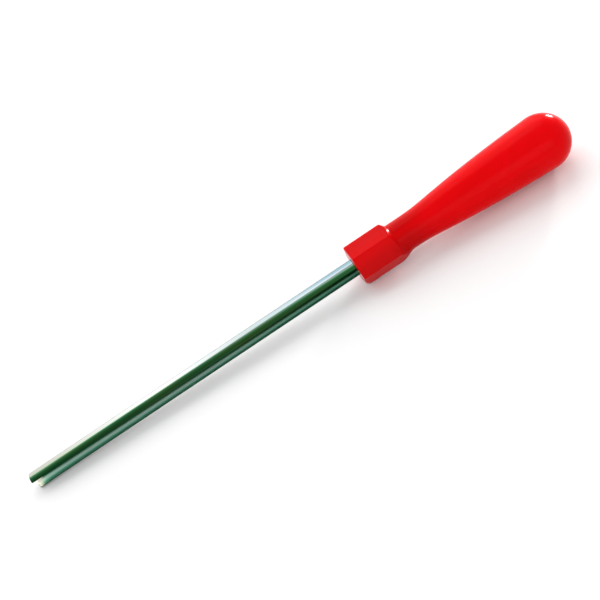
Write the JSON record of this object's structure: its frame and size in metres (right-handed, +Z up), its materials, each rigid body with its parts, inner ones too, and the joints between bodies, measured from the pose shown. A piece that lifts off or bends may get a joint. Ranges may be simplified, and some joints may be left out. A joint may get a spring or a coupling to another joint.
{
  "type": "hand sampling trier",
  "caption": "Hand tool with an open-sided polished steel tube, used to draw a core or a sample, set in a one-piece glossy red pear-shaped grip with a hexagonal collar.",
  "frame": {"origin": "middle of the tool's length, below its axis, at the height of the grip's lowest point", "axes": "+X along the tool from the tube's tip to the butt of the grip, +Z up and square to two of the collar's flats, and the tube's open side faces -Y"},
  "size_m": [0.281, 0.0258, 0.0259],
  "materials": {
    "red_plastic": "glossy moulded, with faint flow marks, fine scuffs and some grime round the neck",
    "polished_steel": "bright polished steel with a green cast and fine drawing lines along its length",
    "core_plastic": "matt moulded"
  },
  "bodies": {
    "root": {"handle": "red_plastic", "blade_tube": "polished_steel", "tang_core": "core_plastic"}
  },
  "joints": []
}
